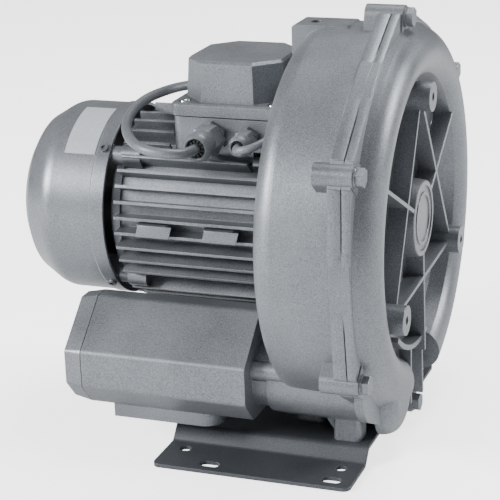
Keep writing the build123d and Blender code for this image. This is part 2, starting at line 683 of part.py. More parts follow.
def rear_endshield():
    hub_r = rear_bearing_r + shield_hub_wall
    x0 = housing_x - shield_t
    seat_end = rear_bearing_x + rear_bearing_w
    body = spin([
        (x0, 0), (x0, barrel_r + 2, 2), (housing_x, barrel_r + 2), (housing_x, bore_r - 0.05),
        (housing_x + spigot_length, bore_r - 0.05), (housing_x + spigot_length, bore_r - 5),
        (housing_x, bore_r - 8), (housing_x, hub_r), (seat_end + 1, hub_r), (seat_end + 1, 0),
    ])
    for angle in ear_angles():
        y, z = ring_place(mount_ear_r - 2, angle)
        body += rod(ear_boss_r, x0, housing_x, y, z)
        arm = block(cowl_screw_x - 7, x0 + 1, barrel_r - 8, barrel_r + 1, -6, 6)
        tip = block(cowl_screw_x - 7, cowl_screw_x + 6, barrel_r - 8, cowl_r - cowl_sheet - 0.4, -6, 6)
        body += Rot(angle, 0, 0) * (arm + tip)
        y, z = ring_place(mount_ear_r, angle)
        body -= rod(shield_screw_r + screw_fit, x0 - 20, housing_x + 1, y, z)
        body -= rod(shield_screw_head_r + 0.4, x0 - 30, x0, y, z)
    body -= rod(rear_bearing_r, rear_bearing_x, seat_end + 2)
    body -= rod(rear_seat_r + 1.0, x0 - 1, seat_end)
    for angle in ear_angles():
        hole = Rot(0, 0, 0) * Cylinder(1.75 + screw_fit, 9, align=(Align.CENTER, Align.CENTER, Align.MAX))
        y, z = ring_place(cowl_r, angle)
        body -= Pos(cowl_screw_x, y, z) * Rot(angle - 90, 0, 0) * hole
    return body


def rotor_parts():
    x0 = stator_x - stator_length / 2
    x1 = stator_x + stator_length / 2
    rotor_r = stator_bore_r - air_gap
    rear_seat_x = rear_bearing_x + rear_bearing_w
    front_seat_end = front_bearing_x + front_bearing_w
    tip_x = impeller_hub_x - 2
    fan_end = fan_x - 3
    shaft = spin([
        (fan_end, 0), (fan_end, fan_seat_r, 0.8), (fan_x + fan_width + 2, fan_seat_r),
        (fan_x + fan_width + 2, rear_seat_r), (rear_seat_x, rear_seat_r), (rear_seat_x, shaft_r - 2),
        (x0 - 8, shaft_r - 2), (x0 - 8, shaft_r), (x1 + 8, shaft_r), (x1 + 8, shaft_r + 2),
        (front_bearing_x, shaft_r + 2), (front_bearing_x, front_seat_r),
        (cavity_x + running_gap, front_seat_r), (cavity_x + running_gap, impeller_seat_r),
        (tip_x, impeller_seat_r, 1.0), (tip_x, 0),
    ])
    key_mid = (cavity_x + impeller_hub_x) / 2
    key_z0 = impeller_seat_r - key_depth
    key = extrude(SlotOverall(key_length, key_w), key_height)
    shaft -= Pos(key_mid, 0, key_z0) * key
    shaft -= rod(bolt_r + screw_fit, tip_x - 22, tip_x + 1)
    shaft -= tube(fan_seat_r + 2, fan_seat_r - 0.8, fan_x - 1.7, fan_x - 0.5)
    core = spin([
        (x0 - 8, shaft_r), (x0 - 8, rotor_r - 8), (x0, rotor_r - 1), (x0, rotor_r), (x1, rotor_r),
        (x1, rotor_r - 1), (x1 + 8, rotor_r - 8), (x1 + 8, shaft_r),
    ])
    half = impeller_width / 2
    hub_x0 = cavity_x + running_gap
    root = Line((impeller_x + half, blade_root_r - 3), (impeller_x + half, blade_root_r))
    scoop_front = ThreePointArc(
        (impeller_x + half, blade_root_r),
        (impeller_x + half * 0.36, blade_root_r + (impeller_r - blade_root_r) * 0.34),
        (impeller_x + impeller_tip_t / 2, impeller_r))
    scoop_rear = ThreePointArc(
        (impeller_x - impeller_tip_t / 2, impeller_r),
        (impeller_x - half * 0.36, blade_root_r + (impeller_r - blade_root_r) * 0.34),
        (impeller_x - half, blade_root_r))
    web = impeller_web_t / 2
    rest = Polyline(
        (impeller_x - half, blade_root_r), (impeller_x - half, blade_root_r - 3),
        (impeller_x - web, blade_root_r - 12), (impeller_x - web, impeller_hub_r + 3),
        (hub_x0, impeller_hub_r), (hub_x0, impeller_seat_r), (impeller_hub_x, impeller_seat_r),
        (impeller_hub_x, impeller_hub_r), (impeller_x + web, impeller_hub_r + 3),
        (impeller_x + web, blade_root_r - 12), (impeller_x + half, blade_root_r - 3))
    tip = Line((impeller_x + impeller_tip_t / 2, impeller_r), (impeller_x - impeller_tip_t / 2, impeller_r))
    impeller = revolve(make_face([root, scoop_front, tip, scoop_rear] + rest.edges()), Axis.X)
    blade = block(impeller_x - half, impeller_x + half, blade_root_r - 1.5, impeller_r - 0.1, -blade_t / 2, blade_t / 2)
    blades = [Rot(360 / blade_count * i, 0, 0) * blade for i in range(blade_count)]
    impeller = impeller + blades
    impeller -= Pos(key_mid, 0, key_z0) * extrude(Rectangle(2 * impeller_hub_length, key_w), key_height)
    washer = tube(impeller_hub_r - 8, bolt_r + screw_fit, impeller_hub_x, impeller_hub_x + 3)
    bolt = Pos(impeller_hub_x + 3, 0, 0) * screw(bolt_r, bolt_head_af / 2, bolt_head_t, 24, sides=6)
    return shaft, core, impeller, Pos(key_mid, 0, key_z0) * key, washer, bolt


def cooling_fan():
    body = tube(fan_hub_r, fan_seat_r, fan_x, fan_x + fan_width)
    plate_x = fan_x + fan_width - 3
    body += tube(fan_r - 3, fan_seat_r, plate_x, plate_x + 2)
    blade = block(fan_x + 2, plate_x + 1, fan_hub_r - 1, fan_r, -fan_blade_t / 2, fan_blade_t / 2)
    body = body + [Rot(360 / fan_blades * i, 0, 0) * blade for i in range(fan_blades)]
    clip = tube(fan_seat_r + 1.6, fan_seat_r - 0.7, fan_x - 1.6, fan_x - 0.6)
    clip -= block(fan_x - 5, fan_x + 5, 0, fan_seat_r + 5, -2.5, 2.5)
    return body, clip


def bearing(x, width, r_out, r_in, balls):
    """Outer ring, inner ring and ball set of a deep-groove bearing."""
    middle = (r_out + r_in) / 2
    ball_r = (r_out - r_in) / 2 - ring_t + 1.2
    groove = Torus(middle, ball_r + ball_fit)
    groove = Pos(x + width / 2, 0, 0) * Rot(0, 90, 0) * groove
    outer = tube(r_out, r_out - ring_t, x, x + width) - groove
    inner = tube(r_in + ring_t, r_in, x, x + width) - groove
    cage_half = (r_out - r_in) / 2 - ring_t - 0.5
    cage = tube(middle + cage_half * 0.5, middle - cage_half * 0.5, x + 2, x + width - 2)
    for i in range(balls):
        y, z = ring_place(middle, 360 / balls * i)
        cage += Pos(x + width / 2, y, z) * Sphere(ball_r)
    return outer, inner, cage


def fan_cowl():
    t = cowl_sheet
    rim_r = cowl_r + cowl_rim_lift
    end_x = cowl_x - cowl_length
    cone_x = cowl_x - cowl_straight - cowl_cone_length
    body = spin([
        (cowl_x, cowl_r - t), (cowl_x, rim_r), (cowl_x - cowl_rim_length, rim_r, 0.5),
        (cowl_x - cowl_rim_length - 1.5, cowl_r), (cowl_x - cowl_straight, cowl_r, 20),
        (cone_x, cowl_cone_r, 8), (end_x, cowl_end_r, 4), (end_x, 0), (end_x + t, 0),
        (end_x + t, cowl_end_r - t, 3), (cone_x + t, cowl_cone_r - t, 7),
        (cowl_x - cowl_straight, cowl_r - t, 19),
    ])
    for r in (14, 24, 34, 44):
        slot = spin([(end_x - 1, r), (end_x + t + 1, r), (end_x + t + 1, r + 6), (end_x - 1, r + 6)], 50, 5)
        for i in range(6):
            body -= Rot(60 * i, 0, 0) * slot
    for angle in ear_angles():
        y, z = ring_place(cowl_r, angle)
        body -= Pos(cowl_screw_x, y, z) * Rot(angle - 90, 0, 0) * Cylinder(1.75 + screw_fit, 8)
    return body


def cowl_screws():
    screws = []
    for angle in ear_angles():
        y, z = ring_place(cowl_r + cowl_rim_lift + 0.1, angle)
        turned = Rot(0, -90, 0) * screw(1.75, 3.6, 2.2, 9)
        screws.append(Pos(cowl_screw_x, y, z) * Rot(angle - 90, 0, 0) * turned)
    return screws


def rating_plate():
    """Blank sticker on the cowl's upper near side."""
    r = cowl_r + 0.05
    return spin([(-280, r), (-253.5, r), (-253.5, r + 0.4), (-280, r + 0.4)], 40, 99)


# --- Terminal box -------------------------------------------------------------------------
def box_screw_places():
    return [(-176.0, -22.0), (-176.0, 22.0), (-113.0, -22.0), (-113.0, 22.0)]


def box_screw_seat(y):
    """Height of the spot faces on the box's curved floor."""
    return sqrt((box_seat_r + box_floor_t) ** 2 - y * y)


def terminal_box_base():
    mid = (box_x0 + box_x1) / 2
    length = box_x1 - box_x0
    outer = extrude(Plane.XY.offset(40) * Pos(mid, 0) * RectangleRounded(length, 2 * box_half, box_corner_r),
                    box_top - 40)
    inner = extrude(Plane.XY.offset(40) * Pos(mid, 0) * RectangleRounded(
        length - 2 * box_wall, 2 * (box_half - box_wall), box_corner_r - box_wall), 60)
    floor_r = box_seat_r + box_floor_t
    body = outer - inner + (outer & rod(floor_r, box_x0 + 1, box_x1 - 1))
    for x in lid_screw_x:
        for y in (-lid_screw_y, lid_screw_y):
            body += Pos(x, y, 54) * extrude(Circle(5.5), box_top - 54) & outer
    body -= rod(box_seat_r, box_x0 - 5, box_x1 + 5)
    clear = tube(fin_tip_r + 0.6, box_seat_r - 1, box_x0 - 5, box_x1 + 5)
    low = block(box_x0 - 6, box_x1 + 6, -box_half - 5, box_half + 5, 30, 49.5)
    body -= clear & low
    body -= low
    for x in lid_screw_x:
        for y in (-lid_screw_y, lid_screw_y):
            body -= Pos(x, y, box_top - 16) * extrude(Circle(lid_screw_r + screw_fit), 20)
    body -= Pos(mid, 0, barrel_r) * extrude(SlotOverall(36, 20), 16, both=True)
    for x, y in box_screw_places():
        body -= Pos(x, y, 70) * Cylinder(2 + screw_fit, 40)
        body -= Pos(x, y, box_screw_seat(y)) * extrude(Circle(4.2), 10)
    for angle in (45, 135):
        clear_x = back_x - ear_front_length - 8
        body -= extrude(Plane.YZ.offset(clear_x) * ear_outline(angle, 0.6), box_x1 + 1 - clear_x, dir=(1, 0, 0))
    for x, r in ((large_gland_x, 8.0), (small_gland_x, 6.0)):
        body -= Pos(x, -box_half, gland_z) * Rot(90, 0, 0) * Cylinder(r + screw_fit, 16)
    return body


def terminal_box_lid():
    mid = (box_x0 + box_x1) / 2
    length = box_x1 - box_x0
    z0 = box_top + lid_gasket_t
    z1 = z0 + lid_plate
    dome_mid = (lid_screw_x[0] + lid_screw_x[1]) / 2

    def octagon(inset):
        a = dome_half_x - inset
        b = dome_half_y - inset
        c = dome_corner - inset * 0.4
        return Pos(dome_mid, 0) * Polygon(
            (-a, -b + c), (-a + c, -b), (a - c, -b), (a, -b + c),
            (a, b - c), (a - c, b), (-a + c, b), (-a, b - c), align=None)

    body = extrude(Plane.XY.offset(z0) * Pos(mid, 0) * RectangleRounded(length + 3, 2 * lid_half, box_corner_r), lid_plate)
    body = chamfer(body.edges().group_by(Axis.Z)[-1], 1.5)
    dome = loft([Plane.XY.offset(z1 - 1) * octagon(0), Plane.XY.offset(dome_top) * octagon(2)])
    dome = chamfer(dome.edges().group_by(Axis.Z)[-1], 2.2)
    body += dome
    body -= loft([Plane.XY.offset(z0 - 1) * octagon(lid_wall), Plane.XY.offset(dome_top - lid_wall) * octagon(lid_wall + 2)])
    for x in lid_screw_x:
        for y in (-lid_screw_y, lid_screw_y):
            body -= Pos(x, y, z0) * Cylinder(lid_screw_r + screw_fit, 40)
            body -= Pos(x, y, z1 - 1.5) * extrude(Circle(5.2), 30)
    return body


def lid_gasket():
    mid = (box_x0 + box_x1) / 2
    length = box_x1 - box_x0
    ring = RectangleRounded(length, 2 * box_half, box_corner_r)
    ring -= RectangleRounded(length - 2 * box_wall, 2 * (box_half - box_wall), box_corner_r - box_wall)
    gasket = extrude(Plane.XY.offset(box_top) * Pos(mid, 0) * ring, lid_gasket_t)
    return gasket


def lid_screws():
    z = box_top + lid_gasket_t + lid_plate - 1.5
    screws = []
    for x in lid_screw_x:
        for y in (-lid_screw_y, lid_screw_y):
            screws.append(Pos(x, y, z) * Rot(0, -90, 0) * screw(lid_screw_r, 4.4, 3, 22))
    return screws


def terminal_block():
    mid = (box_x0 + box_x1) / 2
    z = box_seat_r + 3.0
    body = block(mid - 26, mid + 26, -14, 14, z, z + 12)
    body -= Pos(mid, 0, z) * extrude(SlotOverall(30, 12), 8)
    studs = []
    links = []
    for i in range(3):
        x = mid + (i - 1) * 16
        for y in (-8, 8):
            body -= Pos(x, y, z + 4) * extrude(Circle(2.0), 10)
            stud = Pos(x, y, z + 4) * extrude(Circle(2.0), 18)
            nut = Pos(x, y, z + 13.2) * extrude(RegularPolygon(4, 6, major_radius=False), 3)
            studs.append(stud + nut)
        links.append(Pos(x, 0, z + 12) * extrude(SlotOverall(26, 7, rotation=90)
                     - Pos(0, 8) * Circle(2.1) - Pos(0, -8) * Circle(2.1), 1.2))
    screws = []
    for x, y in box_screw_places():
        seat = box_screw_seat(y)
        screws.append(Pos(x, y, seat) * Rot(0, -90, 0) * screw(2.0, 3.6, 2.4, seat - bore_r + 3))
    return body, studs, links, screws


# --- Glands and leads ------------------------------------------------------------------------
def gland(thread_r, flange_af, nut_r, length, lead_r):
    """Cable gland along -x, seat of its flange at x = 0: body, cap nut and lock nut."""
    body = hexagon(flange_af, -6, 0) + rod(thread_r, -1, box_wall + 7)
    body += rod(nut_r - 2.5, -length + 6, -5)
    body -= rod(lead_r + lead_fit, -length, box_wall + 20)
    cap = spin([(-length, 0), (-length, nut_r - 3.5), (-length + 5, nut_r), (-6.3, nut_r), (-6.3, 0)])
    cap -= rod(nut_r - 2.4, -length + 5.9, 0)
    cap -= rod(lead_r + lead_fit, -length - 1, 0)
    for i in range(12):
        y, z = ring_place(nut_r + 0.5, 30 * i)
        cap -= rod(0.9, -length + 6, -5, y, z)
    nut = Rot(30, 0, 0) * hexagon(flange_af - 2, box_wall, box_wall + 4) - rod(thread_r, 0, 20)
    return body, cap, nut


def route(points, r):
    """Lead through hand-chosen points: straight runs with arcs as large as they allow."""
    vectors = [Vector(*p) for p in points]
    radii = []
    for a, b, c in zip(vectors, vectors[1:], vectors[2:]):
        turn = (b - a).get_angle(c - b)
        run = min((b - a).length, (c - b).length)
        radii.append(0.45 * run / tan(radians(turn / 2)))
    line = FilletPolyline(*vectors, radius=radii)
    section = Plane(origin=vectors[0], z_dir=vectors[1] - vectors[0]) * Circle(r)
    lead = sweep(section, path=line)
    print("lead radii", [round(v, 1) for v in radii], "least", round(min(radii) / (2 * r), 1), "diameters,",
          "volume ratio", round(lead.volume / (3.14159265 * r * r * line.length), 4))
    return lead


large_lead_points = [
    (-156, -80, 69), (-156, -98, 69), (-166, -109, 70.5), (-184, -110, 72), (-199, -101, 74),
    (-212, -86, 77.5), (-221, -66, 82), (-225, -42, 86.5), (-225, -16, 88.5), (-221, 10, 88.5),
    (-216, 36, 87), (-207, 60, 84), (-198, 79, 79), (-191, 94, 70), (-188, 104, 56), (-188, 104, 36),
]
small_lead_points = [
    (-126, -69, 69), (-126, -81, 69), (-119, -90, 71), (-109, -89, 73.5), (-100, -80, 77.5),
    (-94, -66, 83), (-90, -48, 89), (-88.5, -28, 94), (-88.5, -4, 96.5), (-89.5, 20, 96),
    (-90.5, 42, 93), (-96.5, 60, 88), (-110, 76, 81), (-127, 90, 70.5), (-143, 100, 58), (-150, 104, 46),
    (-150, 104, 34),
]


def capacitor_box():
    """Housing of the run capacitors on the far pads, with its lid and contents."""
    x0, x1 = capacitor_x
    y0 = pad_out
    y1 = pad_out + capacitor_depth
    half = capacitor_half
    shape = block(x0, x1, y0, y1 - 3, -half, half)
    shape = fillet(shape.edges().filter_by(Axis.Y), 5)
    hollow = block(x0 + 3, x1 - 3, y0 + 3, y1, -half + 3, half - 3)
    lid = block(x0, x1, y1 - 2.7, y1, -half, half)
    lid = fillet(lid.edges().filter_by(Axis.Y), 5)
    body = shape - hollow
    screws = []
    for x in pad_x:
        body -= Pos(x, y0, 0) * Rot(90, 0, 0) * Cylinder(2.1, 12)
        seat = Pos(x, y0 + 3, 0) * Rot(0, 0, 90)
        screws.append(seat * screw(2.0, 3.6, 2.4, 12))
    for x in (x0 + 8, x1 - 8):
        for z in (-half + 8, half - 8):
            body += Pos(x, y0 + 2, z) * Rot(-90, 0, 0) * extrude(Circle(4), y1 - 5 - y0)
            body -= Pos(x, y1 - 20, z) * Rot(-90, 0, 0) * extrude(Circle(1.6), 30)
            lid -= Pos(x, y1 - 20, z) * Rot(-90, 0, 0) * extrude(Circle(1.7), 30)
            screws.append(Pos(x, y1, z) * Rot(0, 0, 90) * screw(1.5, 3.0, 2.0, 14))
    cans = []
    for z, lift in ((-capacitor_r - 4.5, 0.2), (capacitor_r - 3.5, pan_head_t + 0.2)):
        can_y = y0 + capacitor_wall + capacitor_r + lift
        cans.append(rod(capacitor_r, x0 + 14, x1 - 14, can_y, z))
    for x, r in ((large_lead_points[-1][0], 8.0), (small_lead_points[-1][0], 6.0)):
        body -= Pos(x, large_lead_points[-1][1], half) * Cylinder(r + screw_fit, 16)
    return body, lid, cans, screws


# --- Build ------------------------------------------------------------------------------------
sizes = {}
os.makedirs("parts", exist_ok=True)

save("foot_bracket", foot_bracket())
save("foot_bolts", *foot_bolts())
save("casing_motor_side", casing_motor_side())
save("casing_cover", casing_cover())
bolts, washers = casing_bolts()
save("casing_bolts", *bolts)
save("casing_bolt_washers", *washers)

near = silencer()
names = ["silencer_body", "port_flange", "silencer_liner", "silencer_screws", "silencer_seals"]
for name, piece in zip(names, near):
    pieces = piece if isinstance(piece, list) else [piece]
    save("near_" + name, *pieces)
    save("far_" + name, *[mirror(p, about=mirror_y) for p in pieces])

save("motor_housing", motor_housing())
front_screws, rear_screws = housing_screws()
save("housing_screws", *front_screws)
save("endshield_screws", *rear_screws)
core, coils = stator()
save("stator_core", core)
save("stator_winding", coils)
save("rear_endshield", rear_endshield())
shaft, rotor_core, impeller, key, hub_washer, hub_bolt = rotor_parts()
save("shaft", shaft)
save("rotor_core", rotor_core)
save("impeller", impeller)
save("impeller_key", key)
save("impeller_washer", hub_washer)
save("impeller_bolt", hub_bolt)
fan, clip = cooling_fan()
save("cooling_fan", fan)
save("fan_clip", clip)
outer, inner, balls = bearing(front_bearing_x, front_bearing_w, front_bearing_r, front_seat_r, 9)
save("front_bearing_outer_ring", outer)
save("front_bearing_inner_ring", inner)
save("front_bearing_balls", balls)
outer, inner, balls = bearing(rear_bearing_x, rear_bearing_w, rear_bearing_r, rear_seat_r, 8)
save("rear_bearing_outer_ring", outer)
save("rear_bearing_inner_ring", inner)
save("rear_bearing_balls", balls)
save("shaft_seal", tube(seal_r, front_seat_r + 0.1, cavity_x - seal_w, cavity_x))
save("fan_cowl", fan_cowl())
save("cowl_screws", *cowl_screws())
save("rating_plate_blank", rating_plate())

save("terminal_box_base", terminal_box_base())
save("terminal_box_gasket", lid_gasket())
save("terminal_box_lid", terminal_box_lid())
save("terminal_lid_screws", *lid_screws())
block_body, studs, links, box_screws = terminal_block()
save("terminal_block", block_body)
save("terminal_studs", *studs)
save("terminal_links", *links)
save("terminal_box_screws", *box_screws)

for name, x, thread_r, af, nut_r, length, lead_r in (
        ("large_gland", large_gland_x, 8.0, 22, 11.5, 38, large_lead_r),
        ("small_gland", small_gland_x, 6.0, 17, 8.5, 27, small_lead_r)):
    body, cap, nut = gland(thread_r, af, nut_r, length, lead_r)
    place = Pos(x, -box_half, gland_z) * Rot(0, 0, 90)
    save(name + "_body", place * body, place * nut)
    save(name + "_cap_nut", place * cap)
save("large_lead", route(large_lead_points, large_lead_r))
save("small_lead", route(small_lead_points, small_lead_r))
cap_body, cap_lid, cans, cap_screws = capacitor_box()
save("capacitor_box", cap_body)
save("capacitor_box_lid", cap_lid)
save("capacitors", *cans)
save("capacitor_box_screws", *cap_screws)
bodies = []
caps = []
for points, thread_r, af, nut_r, length, lead_r in (
        (large_lead_points, 8.0, 22, 11.5, 19, large_lead_r),
        (small_lead_points, 6.0, 17, 8.5, 15, small_lead_r)):
    body, cap, nut = gland(thread_r, af, nut_r, length, lead_r)
    place = Pos(points[-1][0], points[-1][1], capacitor_half) * Rot(0, 90, 0)
    bodies.extend([place * body, place * nut])
    caps.append(place * cap)
save("capacitor_gland_bodies", *bodies)
save("capacitor_gland_cap_nuts", *caps)
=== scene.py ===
# %% [markdown]
# # Side channel blower
# A blower like this is castings and sheet metal sprayed in one coat of silver-grey paint, with
# a few parts left bright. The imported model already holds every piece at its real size, so this
# notebook dresses it. It sets the camera, the light and the floor, gives each piece its finish,
# and models what is easier to shape here than in a solid modeller: the leads, the flange's
# edge, the pad faces, the gland nuts and the cross recesses of the lid screws.

# %% Load the fixed frame
import bmesh
import bpy
import json
from math import acos, atan2, cos, hypot, pi, radians, sin, sqrt
from mathutils import Matrix, Vector


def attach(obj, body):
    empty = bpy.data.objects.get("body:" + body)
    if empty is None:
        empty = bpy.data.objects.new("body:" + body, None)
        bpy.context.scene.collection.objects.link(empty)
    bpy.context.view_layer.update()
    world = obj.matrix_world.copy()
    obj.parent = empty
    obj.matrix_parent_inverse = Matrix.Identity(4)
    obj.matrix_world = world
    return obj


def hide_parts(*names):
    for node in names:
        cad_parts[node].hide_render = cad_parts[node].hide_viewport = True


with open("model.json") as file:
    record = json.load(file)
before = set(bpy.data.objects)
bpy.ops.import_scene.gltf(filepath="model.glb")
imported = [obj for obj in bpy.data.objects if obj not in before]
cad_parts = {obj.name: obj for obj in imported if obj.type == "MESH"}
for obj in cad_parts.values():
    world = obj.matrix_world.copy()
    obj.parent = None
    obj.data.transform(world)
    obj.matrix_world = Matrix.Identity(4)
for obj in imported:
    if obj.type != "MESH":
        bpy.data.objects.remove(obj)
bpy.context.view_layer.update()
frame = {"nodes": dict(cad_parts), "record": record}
MM = 0.001

# %% [markdown]
# ## Datums
# The dressing is drawn in machine millimetres: x from the face of the cover's hub disc, which
# points away from the motor, y across the machine and z from the shaft. Each piece could be
# drawn in the frame's metres, but a fitter measures a blower from its shaft, and small whole
# numbers are easier to check. The shaft's height above the floor comes from the rotor's joint,
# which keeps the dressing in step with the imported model.

# %% Datums
HUB_X = 0.106
axis_height = frame["record"]["behaviour"]["joints"][0]["pos_m"][2]
print("shaft axis above the floor:", round(axis_height, 4))


def on_machine(x, y, z):
    """Machine millimetres (hub disc face, shaft axis) to the frame's metres."""
    return Vector((HUB_X + x * MM, y * MM, axis_height + z * MM))


# %% [markdown]
# ## Camera
# The view is from the cover side, a little above the machine, with a long lens, so the circles
# of the casing stay close to true ellipses. A constraint could point the camera at the machine,
# but it can't give the slight roll, so the camera's three directions are worked out from yaw,
# pitch and roll, in radians, and set as its matrix.

# %% Camera
CAMERA_SPOT = (327.13, -1251.91, 411.09)
YAW, PITCH, ROLL = 0.361844, 0.324207, -0.034342
SENSOR_WIDTH = 36
FOCAL_IN_FRAME_WIDTHS = 3.44486

view = Vector((-sin(YAW) * cos(PITCH), cos(YAW) * cos(PITCH), -sin(PITCH)))
level_right = Vector((cos(YAW), sin(YAW), 0))
level_up = level_right.cross(view)
right = level_right * cos(ROLL) + level_up * sin(ROLL)
up = level_up * cos(ROLL) - level_right * sin(ROLL)
facing = Matrix((right, up, -view)).transposed().to_4x4()
camera_data = bpy.data.cameras.new("camera")
camera_data.sensor_width = SENSOR_WIDTH
camera_data.lens = FOCAL_IN_FRAME_WIDTHS * SENSOR_WIDTH
camera = bpy.data.objects.new("camera", camera_data)
bpy.context.scene.collection.objects.link(camera)
camera.matrix_world = Matrix.Translation(on_machine(*CAMERA_SPOT)) @ facing
bpy.context.scene.camera = camera
print("lens:", round(camera_data.lens, 2), "mm")

# %% [markdown]
# ## Leads
# Two round cables leave the terminal box through glands. They were on the machine when it was
# sprayed, so their jackets carry the paint. A cable could be a mesh tube, but a curve with a round
# bevel is shorter and stays smooth: a NURBS spline of order 3 with given control points bends as a
# stiff jacket does. The bevel is one metre deep and each point's radius is the cable's own,
# because Blender grows a curve's bounding box by its points' radius.

# %% Leads
LARGE_LEAD = 8
SMALL_LEAD = 6
LARGE_ROUTE = [
    (-156, -80, 69), (-156, -98, 69), (-166, -109, 70.5), (-184, -110, 72),
    (-199, -101, 74), (-212, -86, 77.5), (-221, -66, 82), (-225, -42, 86.5),
    (-225, -16, 88.5), (-221, 10, 88.5), (-216, 36, 87), (-207, 60, 84),
    (-198, 79, 79), (-191, 94, 70), (-188, 104, 56), (-188, 104, 36),
]
SMALL_ROUTE = [
    (-126, -69, 69), (-126, -81, 69), (-119, -90, 71), (-109, -89, 73.5),
    (-100, -80, 77.5), (-94, -66, 83), (-90, -48, 89), (-88.5, -28, 94),
    (-88.5, -4, 96.5), (-89.5, 20, 96), (-90.5, 42, 93), (-96.5, 60, 88),
    (-110, 76, 81), (-127, 90, 70.5), (-143, 100, 58), (-150, 104, 46),
    (-150, 104, 34),
]


def fill_spline(curve, points, radius):
    curve.dimensions = "3D"
    curve.resolution_u = 12
    spline = curve.splines.new("NURBS")
    spline.points.add(len(points) - 1)
    for place, point in zip(spline.points, points):
        place.co = (*on_machine(*point), 1)
        place.radius = radius
    spline.order_u = 3
    spline.use_endpoint_u = True


def spline_length(points):
    """Length of the spline, walked along a copy with no bevel."""
    curve = bpy.data.curves.new("measure", "CURVE")
    fill_spline(curve, points, 0.0)
    probe = bpy.data.objects.new("measure", curve)
    mesh = bpy.data.meshes.new_from_object(probe)
    spots = [v.co.copy() for v in mesh.vertices]
    bpy.data.objects.remove(probe)
    bpy.data.meshes.remove(mesh)
    return sum((b - a).length for a, b in zip(spots, spots[1:]))


def lead(name, points, diameter):
    """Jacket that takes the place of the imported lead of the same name."""
    curve = bpy.data.curves.new(name, "CURVE")
    fill_spline(curve, points, diameter * MM / 2)
    curve.bevel_depth = 1.0
    curve.bevel_resolution = 6
    curve.use_fill_caps = True
    piece = bpy.data.objects.new(name, curve)
    bpy.context.scene.collection.objects.link(piece)
    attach(piece, "machine")
    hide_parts(name.replace("_jacket", ""))
    length = spline_length(points)
    print(name, "length", round(length, 4), "m")
    return piece


large_jacket = lead("large_lead_jacket", LARGE_ROUTE, LARGE_LEAD)
small_jacket = lead("small_lead_jacket", SMALL_ROUTE, SMALL_LEAD)

# %% [markdown]
# ## From a bmesh to a piece
# Every added piece is drawn with the shaft as its x axis. The first helper spins a closed
# section into a ring and the second rounds edges. The third scales the finished bmesh to
# metres, moves it to its place on the frame, shades it smooth up to 35 degrees and lets it ride
# on the machine. The place could be set on the object instead, but then a pattern on Object
# coordinates would start somewhere else on each piece, so the object stays at the origin and
# the place is in its mesh.

# %% Helpers for pieces
SMOOTH_UP_TO = radians(35)
SAME_SPOT = 0.001


def spun_ring(section, axis, steps):
    """Closed section of (x, y) corners, spun full turn about an axis through the origin."""
    bm = bmesh.new()
    verts = [bm.verts.new((x, y, 0)) for x, y in section]
    edges = [bm.edges.new(pair) for pair in zip(verts, verts[1:] + verts[:1])]
    bmesh.ops.spin(bm, geom=verts + edges, cent=(0, 0, 0), axis=axis, angle=2 * pi,
                   steps=steps, use_merge=True)
    bmesh.ops.remove_doubles(bm, verts=bm.verts, dist=SAME_SPOT)
    return bm


def round_edges(bm, edges, radius, segments):
    bmesh.ops.bevel(bm, geom=edges, offset=radius, segments=segments, affect="EDGES",
                    profile=0.5, material=-1)


def machine_piece(name, bm):
    """Mesh in machine millimetres to a piece in the frame that rides on the machine."""
    bmesh.ops.scale(bm, vec=(MM, MM, MM), verts=bm.verts)
    bmesh.ops.translate(bm, vec=on_machine(0, 0, 0), verts=bm.verts)
    mesh = bpy.data.meshes.new(name)
    bm.to_mesh(mesh)
    bm.free()
    piece = bpy.data.objects.new(name, mesh)
    bpy.context.scene.collection.objects.link(piece)
    for face in mesh.polygons:
        face.use_smooth = True
    mesh.set_sharp_from_angle(angle=SMOOTH_UP_TO)
    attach(piece, "machine")
    print(name, len(mesh.polygons), "faces")
    return piece


# %% [markdown]
# ## Flange bands
# The two halves of the casing meet in a flange whose outline is the casing's circle with six
# screw ears that run off it as tangents. A boolean could join a ring and six ears, but it
# leaves thin faces that shade badly on a rim. Instead each half's band is a ring with a
# rectangular section, spun round the shaft in fine steps, and every outer vertex is pushed out
# to the outline. On a tangent that leaves the circle at the angle EAR_SPREAD from the screw,
# the radius is the circle's divided by the cosine of the angle still to go. The bands stop just
# short of each other, which leaves the parting line.

# %% Flange bands
JOINT_X = -20.0
FLANGE_R = 154.4
BAND_DEPTH = 8
MOTOR_BAND = 10.4
COVER_BAND = 6.9
PARTING_GAP = 0.25
RIM_ROUND = 0.8
BAND_STEPS = 900
EAR_REACH_R = 161.0
EAR_R = 8.8
FIRST_EAR = radians(93)
EAR_STEP = radians(60)
EAR_SPREAD = acos((FLANGE_R - EAR_R) / EAR_REACH_R)


def flange_radius(angle):
    """Radius of the flange's outline at an angle from +y towards +z, in millimetres."""
    off = abs((angle - FIRST_EAR + EAR_STEP / 2) % EAR_STEP - EAR_STEP / 2)
    if off >= EAR_SPREAD:
        return FLANGE_R
    on_tangent = FLANGE_R / cos(EAR_SPREAD - off)
    inside = EAR_R ** 2 - (EAR_REACH_R * sin(off)) ** 2
    on_ear = EAR_REACH_R * cos(off) + sqrt(inside) if inside > 0 else on_tangent
    return min(on_tangent, on_ear)


def on_rim(v):
    """Whether the vertex lies on the band's outer face."""
    return hypot(v.co.y, v.co.z) > FLANGE_R - 1


